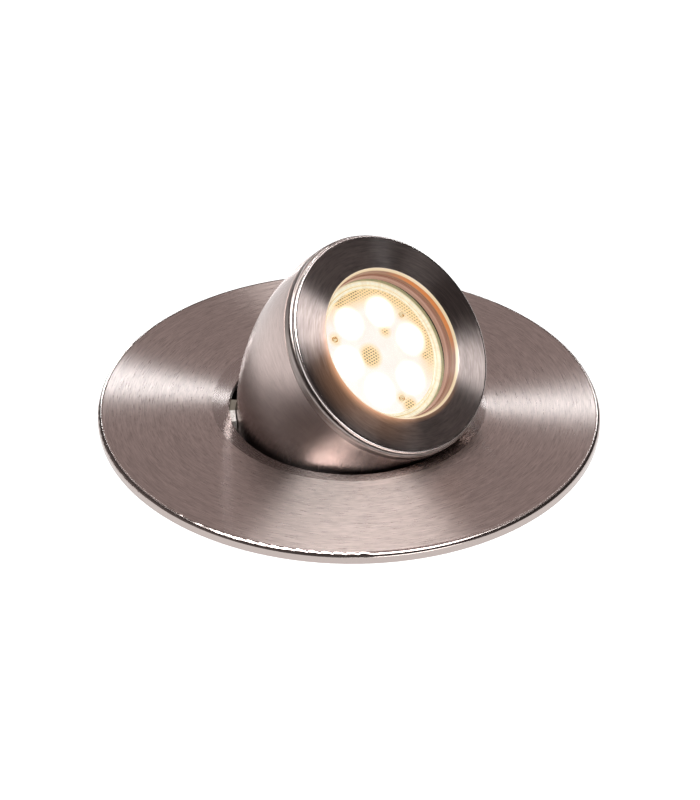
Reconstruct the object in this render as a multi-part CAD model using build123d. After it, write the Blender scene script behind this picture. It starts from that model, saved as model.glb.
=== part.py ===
from build123d import *

import os
from math import atan2, cos, degrees, radians, sin, sqrt

# An in-ground light: a round cover plate with a tilting head that slides up through its hole.
# Millimetres, +Z up. Z = 0 is the ground, the origin is the centre of the sleeve's mouth,
# and the light faces -Y. The head is drawn at full tilt, resting on its stop.

# How far cutting shapes run on, how far added shapes reach in, and how closely edges are picked
run_on = 1.0
bite = 0.5
match = 0.01

# Cover plate, pressed from sheet
plate_diameter = 150.0
plate_sheet = 1.5
plate_height = 3.0
rim_bend = 1.4
hole_diameter = 71.8
dish_width = 5.1
dish_drop = 1.3
hole_edge_round = 0.35

# Hinge in front of the hole, just under the plate
hinge_setback = 3.8
hinge_depth = 1.9
pin_diameter = 3.0
pin_play = 0.05
pin_head_height = 1.2
pin_head_inset = 0.2
pin_tail = 2.4
pin_groove_setback = 0.2
pin_groove_width = 0.8
pin_groove_depth = 0.4
pin_clip_thickness = 0.6
pin_clip_slot = 1.8
knuckle_wall = 1.2
knuckle_length = 17.2
washer_thickness = 0.45
washer_inset = 0.1
ear_thickness = 2.0
tilt_angle = 45.8

# Head shell, a bent tube that turns about the hinge line
shell_gap = 1.9
shell_lead = 0.3
shell_wall = 1.5
skirt_angle = 9.0

# Front of the head, from the face down
face_height = 6.6
bezel_lip = 0.9
bezel_round = 0.6
bezel_gasket_height = 0.5
bezel_gasket_inset = 1.0
collar_band = 2.9
collar_inset = 0.1
collar_round = 0.9
collar_relief = 0.5
collar_relief_play = 0.1
bezel_inset = 0.8
bezel_depth = 5.3
aperture_radius = 23.05
aperture_chamfer = 0.75
recess_draft = 0.8
recess_ledge = 0.2
recess_ledge_height = 2.1
glass_gasket_height = 0.4
glass_gasket_inset = 0.15
glass_thickness = 2.0
glass_overlap = 5.0
glass_edge = 0.3
seat_height = 0.6
seat_inset = 0.3
collar_wall = 2.4
thread_play = 0.05
ledge_width = 3.0
ledge_height = 2.0

# Light module
flange_height = 2.5
module_wall = 3.4
module_bore_step = 1.0
lens_count = 6
lens_circle_radius = 12.3
lens_phase = -7.0
lens_radius = 6.0
lens_throat = 2.4
lens_depth = 7.0
lens_plate_height = 1.4
lens_play = 0.2
lens_edge = 0.6
lens_shoulder_inset = 0.5
lens_shoulder = 1.0
lens_foot = 0.2
lens_pocket_depth = 2.6
lens_pocket_dome = 0.4
lens_pocket_radius = 1.45
lens_window_radius = 4.4
lens_window_crown = 0.12
holder_height = 2.6
holder_groove = 0.35
holder_groove_depth = 0.5
holder_bead = 0.45
screw_circle_radius = 15.3
screw_phase = 23.0
screw_count = 3
lens_screw_diameter = 2.0
lens_screw_hole = 0.15
lens_screw_grip = 1.4
lens_screw_sink = 0.1
lens_socket_depth = 0.8
board_height = 1.6
board_play = 0.4
led_size = 3.5
led_height = 1.0
led_base = 0.6
led_dome_radius = 1.15
led_dome_sink = 0.3
pad_height = 0.5
floor_height = 2.4
driver_bay_radius = 12.6
driver_bay_depth = 9.0
driver_height = 1.6
driver_component_height = 4.0
driver_play = 0.1
driver_lift = 2.2
driver_step = 1.0
back_radius = 15.6
back_rim = 1.6
back_height = 2.4
back_screw_radius = 0.75
back_screw_length = 3.5
back_screw_hole = 1.0
back_screw_head_radius = 1.6
back_screw_head_height = 1.0
back_socket_radius = 0.5
back_socket_depth = 0.6
fin_count = 20
fin_slot = 2.0
fin_slot_depth = 3.6
fin_root = 0.8
fin_top = 0.4

# Head base with the hinge knuckle
base_height = 2.5
spigot_height = 3.4
spigot_wall = 3.0
spigot_front = 21.0
spigot_play = 0.15
knuckle_root = 4.0
grommet_radius = 6.0
grommet_bore = 3.6
grommet_lip = 1.2
stop_width = 14.0
stop_thickness = 3.3
stop_gap = 0.3
stop_root = 3.0
stop_play = 0.15
side_screw_diameter = 2.5
side_screw_sink = 0.2
side_socket_radius = 0.65
side_socket_depth = 1.4
side_screw_angles = (22.0, 158.0, 216.0, 324.0)

# Carrier ring that the plate, the hinge and the springs are fixed to
guide_clearance = 3.1
guide_wall = 2.0
guide_depth = 11.0
web_height = 3.0
carrier_wall = 3.0
carrier_depth = 16.0
carrier_play = 0.3
web_span = 7.7
rib_count = 12
rib_thickness = 1.8
rib_depth = 7.0
stud_azimuths = (20.0, 90.0, 160.0, 225.0, 315.0)
stud_diameter = 4.0
stud_play = 0.2
stud_tail = 1.2
boss_wall = 2.2
boss_depth = 6.0
nut_height = 3.2
nut_across_flats = 7.0
stud_washer_height = 0.8
stud_washer_radius = 4.4
stud_washer_room = 0.4
seal_section = 2.2
seal_depth = 2.7
seal_squeeze = 0.05
bracket_plate = 1.5
bracket_width = 36.0
bracket_depth = 11.0
bracket_setback = 4.2
bracket_screw_spacing = 28.6
bracket_screw_diameter = 3.0
bracket_screw_cover = 0.7
bracket_screw_hole = 0.2
bracket_screw_gap = 0.3
bracket_screw_head_radius = 2.75
bracket_screw_head_height = 1.8
bracket_socket = 2.0
bracket_socket_depth = 1.1
bracket_room = 0.5
bracket_rise = 0.4
bracket_corner = 1.5
ear_foot_lift = 1.0

# Friction springs and their blocks, seen in the gap beside the head
block_azimuth = 45.0
block_half_angle = 9.5
block_depth = 9.5
block_clearance = 0.35
block_reach = 2.0
block_seat_gap = 0.1
spring_azimuth = 28.0
spring_half_angle = 6.5
spring_sheet = 0.5
spring_height = 6.0
spring_drop = 2.0
spring_reveal = 1.6
spring_lap = 1.5
spring_end_inset = 2.0
rivet_radius = 1.2
rivet_sink = 0.2
rivet_head_radius = 2.2
rivet_head_height = 0.9

# Ground sleeve
sleeve_wall = 3.0
sleeve_length = 100.0
sleeve_floor_depth = 75.0
sleeve_floor = 3.0
ledge_reach = 3.0
floor_play = 0.1
sleeve_rib_count = 8
sleeve_rib_height = 1.6
sleeve_rib_thickness = 2.0
sleeve_rib_phase = 22.5
sleeve_rib_gap = 3.0
drain_count = 6
drain_radius = 4.0
drain_circle_radius = 34.0
groove_depth = 1.5
groove_top = 9.0
groove_height = 6.0
groove_slope = 1.0
clip_width = 10.0
clip_sheet = 0.6
clip_count = 3
clip_play = 0.2
clip_bow = 0.8
clip_tail = 0.6
clip_pocket_rise = 0.5
stop_nub_width = 4.0
stop_nub_height = 5.0
stop_nub_reach = 3.6
stop_nub_gap = 0.6
gasket_gap = 0.1
gasket_inset = 0.8
gasket_play = 0.1

# Cable gland in the sleeve floor, and the smaller one on the light module
gland_thread_radius = 8.0
gland_thread_length = 7.2
gland_tail = 1.0
gland_across_flats = 19.2
gland_flange_height = 5.0
gland_cap_radius = 9.6
gland_cap_height = 13.0
gland_cap_gap = 0.4
gland_cap_taper = 2.6
gland_cap_taper_height = 3.4
gland_cap_lip = 2.4
gland_cap_floor = 4.6
gland_mouth_play = 1.0
gland_flute_radius = 1.2
gland_flute_offset = 0.5
gland_flute_lift = 3.0
gland_flute_count = 6
gland_bore = 4.0
gland_seal_wall = 1.6
gland_seal_lift = 0.3
locknut_across_flats = 22.0
locknut_height = 4.0
module_gland_ratio = 0.55
module_gland_gap = 0.6

# Sizes that follow from those above
plate_radius = plate_diameter / 2
hole_radius = hole_diameter / 2
dish_radius = hole_radius + dish_width
sheet_level = plate_height - plate_sheet
hole_top = plate_height - dish_drop
hole_bottom = hole_top - plate_sheet

hinge_offset = hole_radius + hinge_setback
pin_radius = pin_diameter / 2
knuckle_radius = pin_radius + knuckle_wall
ear_inner = knuckle_length / 2 + washer_thickness + pin_play
ear_outer = ear_inner + ear_thickness

tube_radius = hole_radius - shell_gap
tube_inner = tube_radius - shell_wall
bend_radius = hinge_offset - shell_lead

bezel_radius = tube_radius - bezel_inset
collar_radius = tube_radius - collar_inset
collar_top = face_height - bezel_lip - bezel_gasket_height
shell_top = collar_top - collar_band
bezel_bottom = face_height - bezel_depth
glass_top = bezel_bottom - glass_gasket_height
glass_bottom = glass_top - glass_thickness
flange_top = glass_bottom - seat_height
flange_bottom = flange_top - flange_height
collar_bottom = flange_bottom - ledge_height
spigot_radius = tube_inner - thread_play
collar_bore = spigot_radius - collar_wall
bezel_skirt = collar_bore - thread_play
flange_radius = collar_bore - thread_play
ledge_radius = collar_bore - ledge_width
glass_inner = aperture_radius - aperture_chamfer - recess_draft
glass_radius = glass_inner + glass_overlap

lens_plate_radius = lens_circle_radius + lens_radius + lens_edge
holder_inner = lens_plate_radius + lens_play
module_bore = glass_inner + module_bore_step
module_radius = module_bore + module_wall
lens_top = glass_bottom - lens_play
lens_bottom = lens_top - lens_depth
board_top = lens_bottom - led_height
board_bottom = board_top - board_height
bay_floor = board_bottom - pad_height
driver_ceiling = bay_floor - floor_height
module_bottom = driver_ceiling - driver_bay_depth
back_edge = back_radius + back_rim
back_screw_circle = (driver_bay_radius + back_radius) / 2

guide_inner = hole_radius + guide_clearance
guide_outer = guide_inner + guide_wall
carrier_inner = guide_outer + web_span
carrier_radius = carrier_inner + carrier_wall
sleeve_bore = carrier_radius + carrier_play
sleeve_radius = sleeve_bore + sleeve_wall
stud_circle_radius = (guide_outer + carrier_inner) / 2
bracket_face = -(hinge_offset + bracket_setback)
bracket_back = bracket_face - bracket_plate
bracket_screw_tip = -sqrt((carrier_radius - bracket_screw_cover) ** 2 - (bracket_screw_spacing / 2) ** 2)
nub_top = carrier_depth + stop_nub_gap


def turned(points):
    """A solid of revolution about Z from its half section, given as radius and height."""
    outline = Polyline(*[(r, 0, z) for r, z in points], close=True)
    return revolve(make_face(outline), Axis.Z)


def ring(outer, inner, low, high):
    """A plain ring or, with no inner radius, a disc."""
    body = Pos(0, 0, low) * Cylinder(outer, high - low, align=(Align.CENTER, Align.CENTER, Align.MIN))
    if inner <= 0:
        return body
    return body - Pos(0, 0, low - run_on) * Cylinder(
        inner, high - low + 2 * run_on, align=(Align.CENTER, Align.CENTER, Align.MIN)
    )


def block(x, y, z):
    """A box from its low and high corners along each axis."""
    size = [b - a for a, b in (x, y, z)]
    middle = [(a + b) / 2 for a, b in (x, y, z)]
    return Pos(*middle) * Box(*size)


def hexagon(across_flats, low, high):
    flat = RegularPolygon(across_flats / 2, 6, major_radius=False)
    return Pos(0, 0, low) * extrude(flat, high - low)


def round_bar(radius, low, high):
    """A bar along Y between two places."""
    bar = Cylinder(radius, high - low, align=(Align.CENTER, Align.CENTER, Align.MIN))
    return Pos(0, low, 0) * Rot(-90, 0, 0) * bar


def around(count, phase=0.0):
    return [Rot(0, 0, phase + 360.0 * i / count) for i in range(count)]


def sector(outer, inner, middle, half_angle, low, high):
    """Part of a ring, centred on an azimuth in degrees."""
    reach = outer * 2
    ends = [middle - half_angle, middle, middle + half_angle]
    corners = [(reach * cos(radians(a)), reach * sin(radians(a))) for a in ends]
    wedge = extrude(make_face(Polyline((0, 0), *corners, close=True)), high - low)
    return ring(outer, inner, low, high) & (Pos(0, 0, low) * wedge)


hinge_axis = Axis((0, -bend_radius, 0), (1, 0, 0))


def swing(shape, angle):
    """Turn a shape about the hinge line in the head's own frame."""
    return shape.rotate(hinge_axis, angle)


def place_head(shape):
    """From the head's own frame, whose Z = 0 plane holds the hinge line, to its place."""
    return Pos(0, bend_radius - hinge_offset, -hinge_depth) * swing(shape, tilt_angle)


def place_base(shape):
    """From the frame of the head's lower end to its place."""
    return place_head(swing(shape, -(tilt_angle + skirt_angle)))


def bent_tube(radius, angle):
    """The bent part of the head, from the plane of the hinge line downwards."""
    section = Circle(radius)
    return revolve(section, Axis((0, -bend_radius, 0), (-1, 0, 0)), revolution_arc=angle)


def cover_plate():
    section = [
        (hole_radius, hole_bottom),
        (dish_radius, sheet_level),
        (plate_radius - plate_sheet, sheet_level),
        (plate_radius - plate_sheet, 0),
        (plate_radius, 0),
        (plate_radius, plate_height),
        (dish_radius, plate_height),
        (hole_radius, hole_top),
    ]
    plate = turned(section)
    rim = plate.edges().filter_by(GeomType.CIRCLE).filter_by(
        lambda e: abs(e.radius - plate_radius) < match and e.center().Z > plate_height - match
    )
    plate = fillet(rim, rim_bend)
    hole = plate.edges().filter_by(GeomType.CIRCLE).filter_by(
        lambda e: abs(e.radius - hole_radius) < match and e.center().Z > hole_top - match
    )
    return fillet(hole, hole_edge_round)


def underside(radius):
    """Height of the plate's underside at a radius."""
    if radius >= dish_radius:
        return sheet_level
    return hole_bottom + (sheet_level - hole_bottom) * (radius - hole_radius) / dish_width


def stud_places():
    return [Rot(0, 0, azimuth) * Pos(stud_circle_radius, 0, 0) for azimuth in stud_azimuths]


def studs():
    stud_end = sheet_level - web_height - boss_depth - stud_washer_height - nut_height - stud_tail
    stud = ring(stud_diameter / 2, 0, stud_end, sheet_level)
    return [place * stud for place in stud_places()]


def stud_washers():
    top = sheet_level - web_height - boss_depth
    washer = ring(stud_washer_radius, stud_diameter / 2 + stud_play, top - stud_washer_height, top)
    return [place * washer for place in stud_places()]


def stud_nuts():
    top = sheet_level - web_height - boss_depth - stud_washer_height
    nut = hexagon(nut_across_flats, top - nut_height, top)
    nut -= ring(stud_diameter / 2 + thread_play, 0, top - nut_height - run_on, top + run_on)
    return [place * nut for place in stud_places()]


def clip_azimuths():
    return [90.0 + 360.0 * i / clip_count for i in range(clip_count)]


def carrier_section():
    """Guide wall, web and outer wall with its seal groove, as one half section."""
    groove_inner = sleeve_bore - seal_squeeze - seal_section
    groove_low = -seal_depth - seal_section / 2 - seal_squeeze
    groove_high = -seal_depth + seal_section / 2 + seal_squeeze
    return [
        (guide_inner, underside(guide_inner)),
        (dish_radius, sheet_level),
        (carrier_radius, sheet_level),
        (carrier_radius, groove_high),
        (groove_inner, groove_high),
        (groove_inner, groove_low),
        (carrier_radius, groove_low),
        (carrier_radius, -carrier_depth),
        (carrier_inner, -carrier_depth),
        (carrier_inner, sheet_level - web_height),
        (guide_outer, sheet_level - web_height),
        (guide_outer, -guide_depth),
        (guide_inner, -guide_depth),
    ]


def carrier_ring():
    web_bottom = sheet_level - web_height
    body = turned(carrier_section())
    for turn in around(rib_count):
        rib = block(
            (guide_outer - bite, carrier_inner + bite),
            (-rib_thickness / 2, rib_thickness / 2),
            (web_bottom - rib_depth, web_bottom),
        )
        body += turn * rib
    boss_radius = stud_diameter / 2 + stud_play + boss_wall
    for place in stud_places():
        body += place * ring(boss_radius, 0, web_bottom - boss_depth, web_bottom)
        body -= place * ring(
            stud_washer_radius + stud_washer_room, 0, -carrier_depth - run_on, web_bottom - boss_depth
        )
        body -= place * ring(stud_diameter / 2 + stud_play, 0, -carrier_depth, sheet_level + run_on)
    half_width = bracket_width / 2 + bracket_room
    body -= block(
        (-half_width, half_width),
        (bracket_back, 0),
        (-carrier_depth - run_on, sheet_level + run_on),
    )
    seat = block(
        (-half_width, half_width),
        (-carrier_inner - run_on, bracket_back),
        (-bracket_depth - run_on, sheet_level),
    )
    body += seat & ring(carrier_inner + bite, 0, -carrier_depth, sheet_level)
    for x in (-bracket_screw_spacing / 2, bracket_screw_spacing / 2):
        body -= Pos(x, 0, bracket_screw_level()) * round_bar(
            bracket_screw_diameter / 2, bracket_screw_tip, bracket_back + run_on
        )
    for azimuth in clip_azimuths():
        body -= Rot(0, 0, azimuth) * clip_pocket()
    for side in (1, -1):
        azimuth = 90 + side * block_azimuth
        body -= Rot(0, 0, azimuth) * rivet_hole()
    nub = block(
        (-stop_nub_width / 2, stop_nub_width / 2),
        (-carrier_radius + bite, -carrier_radius + stop_nub_reach),
        (-nub_top - stop_nub_height, -carrier_depth + bite),
    )
    return body + nub


def bracket_screw_level():
    return sheet_level - web_height - bracket_depth / 2


def clip_pocket():
    """Room for a retaining clip in the carrier's outer wall, on the +X side."""
    pocket_floor = carrier_radius - carrier_wall / 2
    return block(
        (pocket_floor, carrier_radius + run_on),
        (-clip_width / 2 - clip_play, clip_width / 2 + clip_play),
        (-carrier_depth - run_on, -groove_top + clip_pocket_rise),
    )


def retaining_clips():
    """Bowed leaf clips that snap into the groove of the sleeve."""
    back = carrier_radius - carrier_wall / 2
    crest = sleeve_bore + clip_bow
    top = -groove_top + clip_play
    low = -groove_top - groove_height - clip_tail
    middle = (top + low) / 2
    outer = ThreePointArc((back + clip_sheet, 0, top), (crest, 0, middle), (back + clip_sheet, 0, low))
    inner = ThreePointArc((back, 0, low), (crest - clip_sheet, 0, middle), (back, 0, top))
    face = make_face([outer, Line(outer @ 1, inner @ 0), inner, Line(inner @ 1, outer @ 0)])
    clip = extrude(face, clip_width / 2, dir=(0, 1, 0), both=True)
    return [Rot(0, 0, azimuth) * clip for azimuth in clip_azimuths()]


def carrier_seal():
    centre = sleeve_bore - seal_squeeze - seal_section / 2
    return Pos(0, 0, -seal_depth) * Torus(centre, seal_section / 2)


def cover_gasket():
    return ring(sleeve_radius - gasket_inset, carrier_radius + gasket_play, gasket_gap, sheet_level)


def hinge_bracket():
    """Base plate with two ears that hold the pin."""
    top = sheet_level - web_height + bracket_rise
    low = top - bracket_depth
    base = block((-bracket_width / 2, bracket_width / 2), (bracket_back, bracket_face), (low, top))
    body = fillet(base.edges().filter_by(Axis.Y), bracket_corner)
    foot = Line((bracket_face - bite, low + ear_foot_lift), (bracket_face - bite, top))
    eye = Pos(-hinge_offset, -hinge_depth) * Circle(knuckle_radius)
    profile = make_hull([*eye.edges(), foot])
    ear = extrude(Plane.YZ * profile, ear_thickness)
    body += Pos(ear_inner, 0, 0) * ear
    body += Pos(-ear_outer, 0, 0) * ear
    body -= pin_line() * Cylinder(pin_radius + pin_play, bracket_width)
    for x in (-bracket_screw_spacing / 2, bracket_screw_spacing / 2):
        body -= Pos(x, 0, bracket_screw_level()) * round_bar(
            bracket_screw_diameter / 2 + bracket_screw_hole, bracket_back - run_on, bracket_face + run_on
        )
    return body


def bracket_screws():
    head_end = bracket_face + bracket_screw_head_height
    shank_radius = bracket_screw_diameter / 2 - thread_play
    screw = round_bar(shank_radius, bracket_screw_tip + bracket_screw_gap, bracket_face)
    screw += round_bar(bracket_screw_head_radius, bracket_face, head_end)
    screw -= Pos(0, head_end, 0) * Rot(90, 0, 0) * hexagon(bracket_socket, -run_on, bracket_socket_depth)
    spacing = bracket_screw_spacing / 2
    return [Pos(x, 0, bracket_screw_level()) * screw for x in (-spacing, spacing)]


def pin_line():
    """From a frame whose Z runs along the hinge line to its place, starting at X = 0."""
    return Pos(0, -hinge_offset, -hinge_depth) * Rot(0, 90, 0)


def hinge_pin():
    pin = ring(pin_radius, 0, -ear_outer, ear_outer + pin_tail)
    pin += ring(knuckle_radius - pin_head_inset, 0, -ear_outer - pin_head_height, -ear_outer)
    groove = ear_outer + pin_groove_setback
    pin -= ring(pin_radius + run_on, pin_radius - pin_groove_depth, groove, groove + pin_groove_width)
    return pin_line() * pin


def pin_clip():
    """Snap ring in the groove at the pin's end."""
    low = ear_outer + pin_groove_setback + (pin_groove_width - pin_clip_thickness) / 2
    high = low + pin_clip_thickness
    clip = ring(knuckle_radius - washer_inset, pin_radius - pin_groove_depth + pin_play, low, high)
    clip -= block((0, knuckle_radius), (-pin_clip_slot / 2, pin_clip_slot / 2), (low - run_on, high + run_on))
    return pin_line() * clip


def hinge_washers():
    """Friction washers between the knuckle and the ears."""
    start = knuckle_length / 2 + pin_play / 2
    end = start + washer_thickness
    outer, inner = knuckle_radius - washer_inset, pin_radius + pin_play
    return [pin_line() * ring(outer, inner, low, high) for low, high in ((-end, -start), (start, end))]


def rivet_hole():
    bar = Rot(0, 0, -90) * round_bar(rivet_radius, hole_radius - bite, guide_outer + run_on)
    return Pos(0, 0, -block_depth / 2) * bar


def head_clearance():
    """The space that the bent tube sweeps, with the block's clearance."""
    swept = bent_tube(tube_radius + block_clearance, tilt_angle + skirt_angle)
    return place_head(swept)


def spring_block(side):
    """Guide block with a face that follows the head's sweep."""
    azimuth = 90 + side * block_azimuth
    outer = guide_inner - spring_sheet
    top = hole_bottom - block_seat_gap
    body = sector(outer, tube_radius - block_reach, azimuth, block_half_angle, -block_depth, top)
    body -= head_clearance()
    body -= Rot(0, 0, azimuth) * rivet_hole()
    return body


def block_rivet(side):
    bar = Rot(0, 0, -90) * round_bar(rivet_radius - thread_play, hole_radius - rivet_sink, guide_outer)
    head = Rot(0, 0, -90) * round_bar(rivet_head_radius, guide_outer, guide_outer + rivet_head_height)
    rivet = Pos(0, 0, -block_depth / 2) * (bar + head)
    return Rot(0, 0, 90 + side * block_azimuth) * rivet


def friction_spring(side):
    """Leaf clamped behind the block, bowed out beside it towards the head."""
    crest = tube_radius + shell_gap - spring_reveal
    chord = guide_inner * sin(radians(spring_half_angle))
    rise = guide_inner * cos(radians(spring_half_angle)) - crest
    bow = (chord ** 2 + rise ** 2) / (2 * rise)
    spread = degrees(atan2(chord, bow - rise))
    low = -spring_drop - spring_height
    leaf = Pos(crest + bow, 0, 0) * sector(bow, bow - spring_sheet, 180, spread, low, -spring_drop)
    leaf &= ring(guide_inner, 0, low, -spring_drop)
    leaf = Rot(0, 0, 90 + side * spring_azimuth) * leaf
    strip_start = spring_azimuth + spring_half_angle - spring_lap
    strip_end = block_azimuth + block_half_angle - spring_end_inset
    strip_middle = 90 + side * (strip_start + strip_end) / 2
    strip_half = (strip_end - strip_start) / 2
    leaf += sector(guide_inner, guide_inner - spring_sheet, strip_middle, strip_half, low, -spring_drop)
    return leaf - Rot(0, 0, 90 + side * block_azimuth) * rivet_hole()


def head_shell():
    """Bent tube with a short straight end that takes the collar."""
    wall = Circle(tube_radius) - Circle(tube_inner)
    bend = revolve(wall, Axis((0, -bend_radius, 0), (-1, 0, 0)), revolution_arc=tilt_angle + skirt_angle)
    body = bend + extrude(wall, shell_top)
    for angle in side_screw_angles:
        body -= swing(side_screw_bar(angle, side_screw_diameter / 2), -(tilt_angle + skirt_angle))
    return place_head(body)


def side_screw_bar(angle, radius):
    bar = Rot(0, 0, -90) * round_bar(radius, tube_inner - spigot_wall - run_on, tube_radius + run_on)
    return Rot(0, 0, angle) * Pos(0, 0, spigot_height / 2) * bar


def side_screws():
    screws = []
    for angle in side_screw_angles:
        radius = side_screw_diameter / 2 - thread_play
        screw = round_bar(radius, tube_inner - spigot_wall, tube_radius - side_screw_sink)
        screw -= round_bar(side_socket_radius, tube_radius - side_socket_depth, tube_radius)
        screws.append(place_base(Rot(0, 0, angle) * Pos(0, 0, spigot_height / 2) * Rot(0, 0, -90) * screw))
    return screws


def shell_collar():
    bend_reach = bend_radius + tube_inner
    bend_relief = bend_reach - sqrt(bend_reach ** 2 - collar_bottom ** 2) + collar_relief_play
    section = [
        (ledge_radius, collar_bottom),
        (spigot_radius - bend_relief, collar_bottom),
        (spigot_radius - bend_relief, -collar_relief),
        (spigot_radius, 0),
        (spigot_radius, shell_top),
        (collar_radius, shell_top),
        (collar_radius, collar_top),
        (collar_bore, collar_top),
        (collar_bore, flange_bottom),
        (ledge_radius, flange_bottom),
    ]
    body = turned(section)
    edge = body.edges().filter_by(GeomType.CIRCLE).filter_by(
        lambda e: abs(e.radius - collar_radius) < match and e.center().Z > collar_top - match
    )
    return place_head(fillet(edge, collar_round))


def bezel_gasket():
    outer, inner = bezel_radius - bezel_gasket_inset, bezel_skirt + thread_play
    return place_head(ring(outer, inner, collar_top, collar_top + bezel_gasket_height))


def bezel():
    """Face ring, threaded into the collar, with a stepped conical recess over the glass."""
    lip_bottom = face_height - bezel_lip
    ledge_level = bezel_bottom + recess_ledge_height
    section = [
        (glass_inner, bezel_bottom),
        (bezel_skirt, bezel_bottom),
        (bezel_skirt, lip_bottom),
        (bezel_radius, lip_bottom),
        (bezel_radius, face_height),
        (aperture_radius, face_height),
        (aperture_radius - aperture_chamfer, face_height - aperture_chamfer),
        (recess_radius(ledge_level) + recess_ledge, ledge_level),
        (recess_radius(ledge_level), ledge_level),
    ]
    body = turned(section)
    edge = body.edges().filter_by(GeomType.CIRCLE).filter_by(
        lambda e: abs(e.radius - bezel_radius) < match and e.center().Z > face_height - match
    )
    return place_head(fillet(edge, bezel_round))


def recess_radius(level):
    """Radius of the recess's lower cone at a height."""
    slope = recess_draft / (face_height - aperture_chamfer - bezel_bottom)
    return glass_inner + slope * (level - bezel_bottom)


def glass():
    return place_head(chamfer(ring(glass_radius, 0, glass_bottom, glass_top).edges(), glass_edge))


def glass_gasket():
    return place_head(ring(glass_radius, glass_inner + glass_gasket_inset, glass_top, bezel_bottom))


def glass_seat():
    return place_head(ring(glass_radius, module_bore + seat_inset, flange_top, glass_bottom))


def module_taper():
    """Outer half section of the light module's housing below its flange."""
    return [
        (module_radius, flange_bottom),
        (module_radius, bay_floor),
        (back_edge, module_bottom),
    ]


def fin_slots():
    """Slots between the cooling fins, leaning with the housing's taper."""
    lean = degrees(atan2(module_radius - back_edge, bay_floor - module_bottom))
    reach = module_radius + fin_slot_depth
    slot = block(
        (module_radius - fin_slot_depth, reach),
        (-fin_slot / 2, fin_slot / 2),
        (module_bottom - run_on, bay_floor - fin_top),
    )
    slot = Pos(module_radius, 0, bay_floor) * Rot(0, lean, 0) * Pos(-module_radius, 0, -bay_floor) * slot
    slot &= ring(reach + fin_slot_depth, back_radius + fin_root, module_bottom - reach, bay_floor)
    return [turn * slot for turn in around(fin_count)]


def back_screw_places():
    return [turn * Pos(back_screw_circle, 0, 0) for turn in around(screw_count)]


def module_housing():
    """Finned cup with the lens bay in front and the supply's bay behind."""
    head = [(0, flange_top), (flange_radius, flange_top), (flange_radius, flange_bottom)]
    body = turned(head + module_taper() + [(0, module_bottom)])
    for slot in fin_slots():
        body -= slot
    below = module_bottom - run_on
    above = module_bottom + back_screw_length + bite
    body -= ring(module_bore, 0, bay_floor, flange_top + run_on)
    body -= ring(driver_bay_radius, 0, below, module_bottom + driver_lift + driver_height)
    body -= ring(driver_bay_radius - driver_step, 0, below, driver_ceiling)
    for place in back_screw_places():
        body -= place * ring(back_screw_radius + thread_play, 0, below, above)
    for place in screw_places():
        depth = lens_screw_grip + lens_screw_sink
        body -= place * ring(lens_screw_diameter / 2, 0, bay_floor - depth, bay_floor + run_on)
    return place_head(body)


def lens_cells():
    return [t * Pos(lens_circle_radius, 0, 0) for t in around(lens_count, lens_phase)]


def screw_places():
    return [t * Pos(screw_circle_radius, 0, 0) for t in around(screw_count, screw_phase)]


def lens_array():
    """Six collimating cones under one thin plate, each hollow over its diode."""
    plate_bottom = lens_top - lens_plate_height
    body = ring(lens_plate_radius, 0, plate_bottom, lens_top)
    cone = turned([
        (0, plate_bottom + bite),
        (lens_radius - lens_shoulder_inset, plate_bottom + bite),
        (lens_radius - lens_shoulder_inset, plate_bottom - lens_shoulder),
        (lens_throat, lens_bottom + lens_foot),
        (0, lens_bottom + lens_foot),
    ])
    pocket = turned([
        (0, lens_bottom + lens_pocket_depth),
        (lens_pocket_radius / 2, lens_bottom + lens_pocket_depth - lens_pocket_dome),
        (lens_pocket_radius, lens_bottom - run_on),
        (0, lens_bottom - run_on),
    ])
    curve = (lens_window_radius ** 2 + lens_window_crown ** 2) / (2 * lens_window_crown)
    window = Pos(0, 0, lens_top + lens_window_crown - curve) * Sphere(curve)
    window &= ring(lens_window_radius, 0, lens_top - lens_window_crown, lens_top + lens_play)
    for place in lens_cells():
        body += place * cone
        body += place * window
        body -= place * pocket
    for place in screw_places():
        body -= place * ring(screw_hole_radius(), 0, lens_bottom - run_on, lens_top + run_on)
    return place_head(body)


def screw_hole_radius():
    return lens_screw_diameter / 2 + lens_screw_hole


def lens_screws():
    head_top = lens_top - lens_screw_sink
    shank = ring(lens_screw_diameter / 2 - thread_play, 0, bay_floor - lens_screw_grip, head_top)
    socket = ring(lens_screw_diameter / 4, 0, head_top - lens_socket_depth, head_top + run_on)
    return [place_head(place * (shank - socket)) for place in screw_places()]


def lens_holder():
    """Trim ring over the lens plate's edge: a flat rim, a groove and a rounded bead."""
    top = glass_bottom - lens_play / 2
    outer = module_bore - thread_play
    low = top - holder_groove_depth
    groove_out = holder_inner + 2 * holder_bead + holder_groove
    groove_in = holder_inner + 2 * holder_bead
    crest = (holder_inner + holder_bead, 0, low + holder_bead)
    outline = [
        Line((groove_in, 0, low), (groove_in + holder_groove / 2, 0, low - holder_groove / 2)),
        Line((groove_in + holder_groove / 2, 0, low - holder_groove / 2), (groove_out, 0, top)),
        Line((groove_out, 0, top), (outer, 0, top)),
        Line((outer, 0, top), (outer, 0, top - holder_height)),
        Line((outer, 0, top - holder_height), (holder_inner, 0, top - holder_height)),
        Line((holder_inner, 0, top - holder_height), (holder_inner, 0, low)),
        ThreePointArc((holder_inner, 0, low), crest, (groove_in, 0, low)),
    ]
    return place_head(revolve(make_face(outline), Axis.Z))


def led_board():
    body = ring(module_bore - board_play, 0, board_bottom, board_top)
    for place in screw_places():
        body -= place * ring(screw_hole_radius(), 0, board_bottom - run_on, board_top + run_on)
    return place_head(body)


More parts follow.
